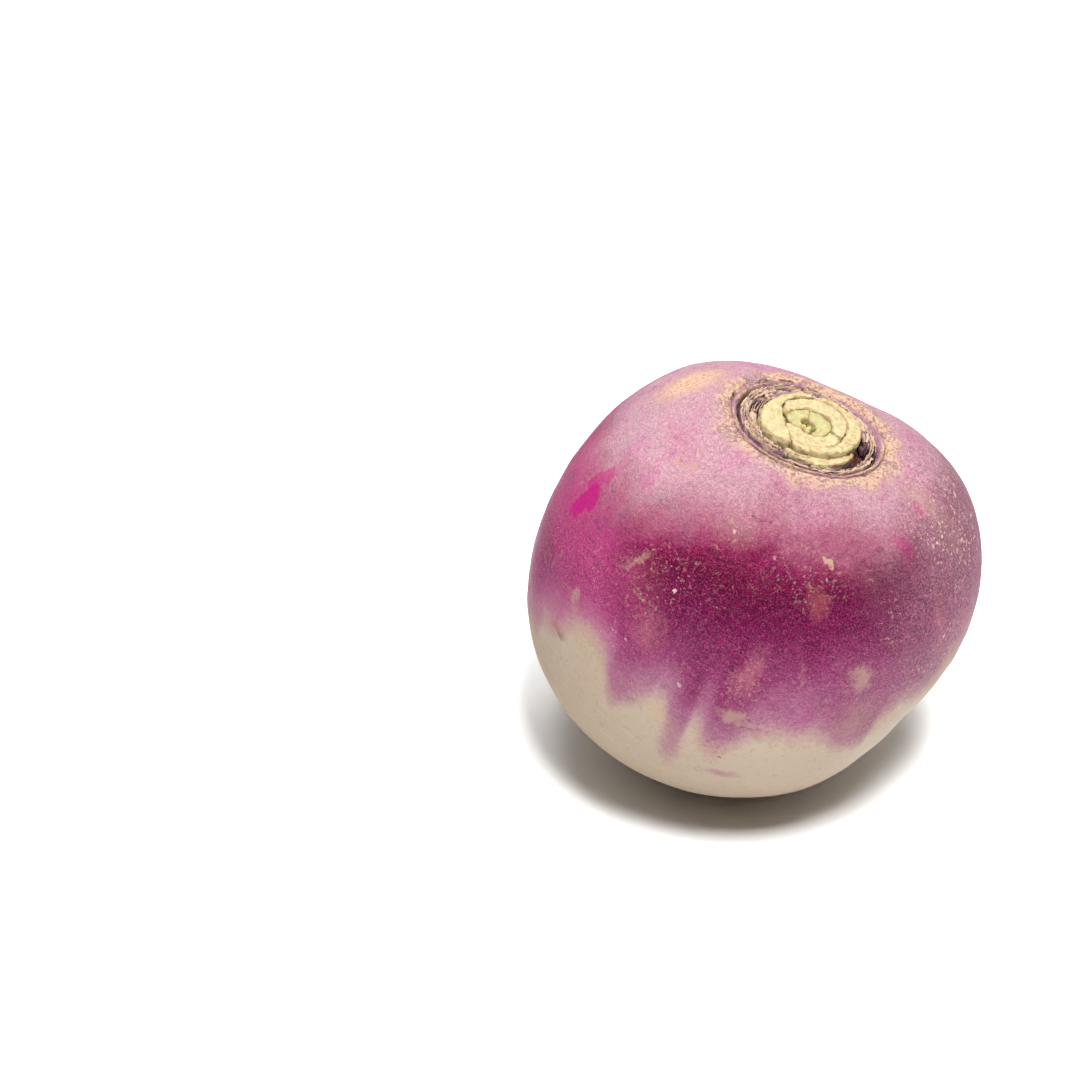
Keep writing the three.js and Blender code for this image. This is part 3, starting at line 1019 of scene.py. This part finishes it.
class TURNIP_OT_root(bpy.types.Operator):
    """Refine the root: smooth skin, lumps, wrinkles and a crusty crown"""

    bl_idname = "turnip.root"
    bl_label = "Root"

    def execute(self, context):
        shape = context.scene.turnip_shape
        root = copy_of("root", "root_skin")
        refine_crown(root, shape)
        apply(root, "SUBSURF", levels=shape.levels, render_levels=shape.levels)

        def skin(place):
            lifted = (root_matrix(shape) @ place).z
            return ease(crown_radius(place, shape), 13.5, 17) * ease(lifted, 0.2, 5)

        def crust(place):
            radius = crown_radius(place, shape)
            outer = shape.cork_radius
            lip = 0.5 + 0.5 * ease(radius, 15.0, 15.8)
            return ease(radius, 13.6, 14.4) * lip * ease(radius, outer + 3, outer)

        weigh(root, "skin", shape, skin)
        weigh(root, "crust", shape, crust)
        emboss(root, shape, shape.lump_height, LUMP_SIZE, "skin", depth=1)
        emboss(root, shape, shape.wrinkle_height, WRINKLE_SIZE, "skin", WRINKLE_STRETCH)
        before = [vertex.co.copy() for vertex in root.data.vertices]
        emboss(root, shape, shape.crust_height, CRUST_SIZE, "crust", depth=3)
        vertices = root.data.vertices
        raised = [
            (vertex.co - was).dot(vertex.normal) / (shape.crust_height * MM / 2)
            for vertex, was in zip(vertices, before)
        ]
        store(root, "relief", raised)
        material = skin_finish(shape, context.scene.turnip_colours)
        place_piece(root, material, "root")
        return {"FINISHED"}


def store(piece, name, values):
    """Stores a value on each corner for the material."""
    attribute = piece.data.attributes.new(name, "FLOAT", "POINT")
    attribute.data.foreach_set("value", list(values))


def rim_of(corners, shape):
    """The rim of a leaf base's cut, and the middle line between its two sides."""
    top = max(corner.z for corner in corners)
    by_azimuth = {}
    for corner in corners:
        if corner.z > top - CUT_FLATNESS:
            spoke = corner.xy - Vector(shape.crown_centre[:2])
            turn = round(degrees(atan2(spoke.y, spoke.x))) % 360
            by_azimuth.setdefault(turn, []).append(spoke.length)
    turns = sorted(by_azimuth)
    gaps = [(after - turn) % 360 for turn, after in zip(turns, turns[1:] + turns[:1])]
    first = (gaps.index(max(gaps)) + 1) % len(turns)
    turns = turns[first:] + turns[:first]
    centre = Vector(shape.crown_centre[:2])

    def line(share):
        points = []
        for turn in turns:
            low, high = min(by_azimuth[turn]), max(by_azimuth[turn])
            spoke = Vector((cos(radians(turn)), sin(radians(turn))))
            points.append(centre + spoke * (low + (high - low) * share))
        return points

    return top, line(0) + line(1)[::-1], line(0.5)


def veins_along(middle):
    """Centres of the veins, at even steps along the middle line of a stalk."""
    veins = []
    run = VEIN_SPACING / 2
    for start, end in zip(middle, middle[1:]):
        run += (end - start).length
        if run >= VEIN_SPACING:
            run -= VEIN_SPACING
            veins.append(end)
    return veins


def distance_to_line(point, start, end):
    """Distance in the plane from a point to the line between two others."""
    along = end - start
    share = (point - start).dot(along) / max(along.length_squared, 1e-9)
    return (point - start - along * min(1, max(0, share))).length


def leaf_base(node, shape, rough, swelling):
    """A leaf base from its CAD solid, with a rough cut and torn edges."""
    piece = copy_of(node, node + "_cut")
    to_root = into_root(shape)
    corners = [to_root @ vertex.co for vertex in piece.data.vertices]
    top, rim, middle = rim_of(corners, shape)
    apply(piece, "REMESH", mode="VOXEL", voxel_size=shape.voxel * MM)
    weigh(piece, "top", shape, lambda place: ease(place.z, top - 1.6, top - 0.4))
    emboss(piece, shape, rough * CUT_SHARE, CUT_SIZE, "top")
    emboss(piece, shape, rough * SIDE_SHARE, SIDE_SIZE)
    apply(piece, "DISPLACE", strength=swelling * MM, mid_level=0)
    apply(piece, "SMOOTH", factor=0.5, iterations=1)
    veins = veins_along(middle)
    sides = list(zip(rim, rim[1:] + rim[:1]))
    edges = []
    rings = []
    for vertex in piece.data.vertices:
        place = to_root @ vertex.co
        inside = min(distance_to_line(place.xy, *side) for side in sides)
        edges.append(hypot(inside, max(0, top - place.z)))
        rings.append(min([(place.xy - vein).length for vein in veins] or [NO_VEIN]))
    store(piece, "edge", edges)
    store(piece, "vein", rings)
    return piece


class TURNIP_OT_stalks(bpy.types.Operator):
    """Refine the freshly cut leaf stalks"""

    bl_idname = "turnip.stalks"
    bl_label = "Cut stalks"

    def execute(self, context):
        shape = context.scene.turnip_shape
        colours = context.scene.turnip_colours
        green = colours.cut_green
        fresh = cut_finish("cut_stalk", shape, colours, colours.cut_flesh, green, colours.dry_mauve)
        young = cut_finish("heart_stalk", shape, colours, colours.heart_green, green, green)
        for node in STALKS:
            stalk = leaf_base(node, shape, STALK_ROUGH, shape.swelling)
            place_piece(stalk, fresh, node)
        for node in HEART_STALKS:
            stalk = leaf_base(node, shape, HEART_ROUGH, shape.swelling)
            place_piece(stalk, young, node)
        return {"FINISHED"}


class TURNIP_OT_sheaths(bpy.types.Operator):
    """Refine the dry remains of the oldest leaves"""

    bl_idname = "turnip.sheaths"
    bl_label = "Dry sheaths"

    def execute(self, context):
        shape = context.scene.turnip_shape
        dry = dry_finish("dry_leaf", shape, context.scene.turnip_colours)
        for node in DRY_SHEATHS:
            sheath = leaf_base(node, shape, SHEATH_ROUGH, -shape.shrinking)
            place_piece(sheath, dry, node)
        return {"FINISHED"}


def paper_strip(shape, radius, start, sweep, top):
    """A thin strip of torn leaf skin that stands on the floor of the crown's pit."""
    height = top - PAPER_FOOT
    bpy.ops.mesh.primitive_cylinder_add(
        vertices=PAPER_SEGMENTS,
        radius=radius * MM,
        depth=height * MM,
        end_fill_type="NOTHING",
        rotation=(0, 0, radians(start)),
    )
    bpy.ops.object.transform_apply()
    strip = bpy.context.object
    for face in strip.data.polygons:
        azimuth = degrees(atan2(face.center.y, face.center.x))
        face.select = (azimuth - start) % 360 > sweep
    with editing(strip):
        bpy.ops.mesh.delete(type="FACE")
        bpy.ops.mesh.select_all(action="SELECT")
        bpy.ops.mesh.subdivide(number_cuts=2)
    place = Vector((*shape.crown_centre[:2], PAPER_FOOT + height / 2))
    strip.matrix_world = millimetre_frame(shape) @ Matrix.Translation(place * MM)
    bpy.ops.object.transform_apply()
    return strip


class TURNIP_OT_papers(bpy.types.Operator):
    """Add the thin torn skins between the dry leaf remains"""

    bl_idname = "turnip.papers"
    bl_label = "Torn skins"

    def execute(self, context):
        shape = context.scene.turnip_shape
        chance = Random(shape.seed)
        strips = []
        for radius in PAPER_RADII:
            start = chance.uniform(0, 360)
            end = start + 360
            while start < end:
                sweep = chance.uniform(*PAPER_SWEEP)
                top = PAPER_TOP - chance.uniform(0, PAPER_DROP)
                wander = radius + chance.uniform(-PAPER_WANDER, PAPER_WANDER)
                middle = (start + sweep / 2) % 360
                lost = PAPER_GAP["from"] < middle < PAPER_GAP["to"]
                if not lost or radius > PAPER_GAP["inside"]:
                    strips.append(paper_strip(shape, wander, start, sweep, top))
                start += sweep * chance.uniform(*PAPER_SPACING)
        for radius, start, sweep in PAPER_FILLERS:
            strips.append(paper_strip(shape, radius, start, sweep, PAPER_TOP - 0.4))
        bpy.ops.object.select_all(action="DESELECT")
        for strip in strips:
            strip.select_set(True)
        bpy.ops.object.join()
        papers = context.object
        papers.name = "papery_skins"
        weigh(papers, "tops", shape, lambda place: ease(place.z, 37, PAPER_TOP))
        emboss(papers, shape, *PAPER_WAVES)
        emboss(papers, shape, *PAPER_TEARS, "tops", axis="Z")
        apply(papers, "SOLIDIFY", thickness=shape.paper * MM, offset=0)
        apply(papers, "SUBSURF", levels=1, render_levels=1)
        to_root = into_root(shape)
        vertices = papers.data.vertices
        store(papers, "edge", [PAPER_TOP - (to_root @ v.co).z for v in vertices])
        torn = dry_finish("torn_skin", shape, context.scene.turnip_colours)
        place_piece(papers, torn)
        return {"FINISHED"}


class TURNIP_OT_bud(bpy.types.Operator):
    """Add the small folded leaf in the heart of the crown"""

    bl_idname = "turnip.bud"
    bl_label = "Heart bud"

    def execute(self, context):
        shape = context.scene.turnip_shape
        colours = context.scene.turnip_colours
        fold, green = colours.heart_fold, colours.heart_green
        young = cut_finish("heart_bud", shape, colours, fold, green, green)
        for index, (x, y, z, wide, deep, tall, turn) in enumerate(BUD_SCALES, 1):
            bpy.ops.mesh.primitive_uv_sphere_add(segments=32, ring_count=20, radius=MM)
            scale = context.object
            scale.name = "heart_bud_%d" % index
            place = Vector((x, y, z)) + Vector(shape.crown_centre)
            scale.matrix_world = (
                millimetre_frame(shape)
                @ Matrix.Translation(place * MM)
                @ Matrix.Rotation(radians(turn), 4, "Z")
                @ Matrix.Diagonal((wide, deep, tall, 1))
            )
            bpy.ops.object.transform_apply()
            emboss(scale, shape, *BUD_FOLDS)
            store(scale, "edge", [NO_EDGE] * len(scale.data.vertices))
            store(scale, "vein", [NO_VEIN] * len(scale.data.vertices))
            place_piece(scale, young)
        return {"FINISHED"}


def soft_light(name, place, size, power, aim):
    """A square soft light of that size in metres, turned to a point."""
    bpy.ops.object.light_add(type="AREA", location=place)
    light = bpy.context.object
    light.name = name
    light.rotation_euler = (aim - Vector(place)).to_track_quat("-Z", "Y").to_euler()
    light.data.size = size
    light.data.energy = power


class TURNIP_OT_stage(bpy.types.Operator):
    """Set the floor, the sky, the lights and the camera"""

    bl_idname = "turnip.stage"
    bl_label = "Stage"

    def execute(self, context):
        stage = context.scene.turnip_stage
        bpy.ops.object.select_all(action="DESELECT")
        bpy.ops.mesh.primitive_plane_add(size=FLOOR_WIDTH)
        floor = context.object
        floor.name = "floor"
        floor.data.materials.append(floor_finish(stage))

        context.scene.world = sky_finish(stage)

        middle = Vector(stage.middle) * MM
        soft_light("key", *KEY_LIGHT, stage.key_power, middle)
        soft_light("top", *TOP_LIGHT, stage.top_power, middle)

        forwards = Vector((0, cos(stage.elevation), -sin(stage.elevation)))
        upwards = Vector((0, sin(stage.elevation), cos(stage.elevation)))
        depth = stage.depth * MM
        bpy.ops.object.camera_add(rotation=(radians(90) - stage.elevation, 0, 0))
        camera = context.object
        camera.data.lens = stage.lens
        width = camera.data.sensor_width / stage.lens * depth
        camera.location = (
            middle
            - forwards * depth
            - Vector((1, 0, 0)) * stage.across * width
            + upwards * stage.down * width
        )
        context.scene.camera = camera
        context.scene.view_settings.view_transform = "Standard"
        return {"FINISHED"}


class TURNIP_PT_panel(bpy.types.Panel):
    """Lists the steps that dress the turnip"""

    bl_label = "Turnip"
    bl_idname = "TURNIP_PT_panel"
    bl_space_type = "VIEW_3D"
    bl_region_type = "UI"
    bl_category = "Turnip"

    def draw(self, context):
        for step in STEPS:
            self.layout.operator(step.bl_idname)
        for settings in SETTINGS:
            box = self.layout.box()
            values = getattr(context.scene, settings)
            for name in SETTINGS[settings].__annotations__:
                box.prop(values, name)


STEPS = [
    TURNIP_OT_root,
    TURNIP_OT_stalks,
    TURNIP_OT_bud,
    TURNIP_OT_sheaths,
    TURNIP_OT_papers,
    TURNIP_OT_stage,
]
SETTINGS = {
    "turnip_shape": TurnipShape,
    "turnip_colours": TurnipColours,
    "turnip_stage": TurnipStage,
}
KINDS = [*SETTINGS.values(), *STEPS, TURNIP_PT_panel]


def register():
    for kind in KINDS:
        bpy.utils.register_class(kind)
    for name, kind in SETTINGS.items():
        setattr(bpy.types.Scene, name, PointerProperty(type=kind))


def unregister():
    for name in SETTINGS:
        delattr(bpy.types.Scene, name)
    for kind in KINDS:
        bpy.utils.unregister_class(kind)


def main():
    """Registers the add-on and builds the turnip and its stage."""
    register()
    bpy.ops.turnip.root()
    bpy.ops.turnip.stalks()
    bpy.ops.turnip.bud()
    bpy.ops.turnip.sheaths()
    bpy.ops.turnip.papers()
    bpy.ops.turnip.stage()


if __name__ == "__main__":
    main()
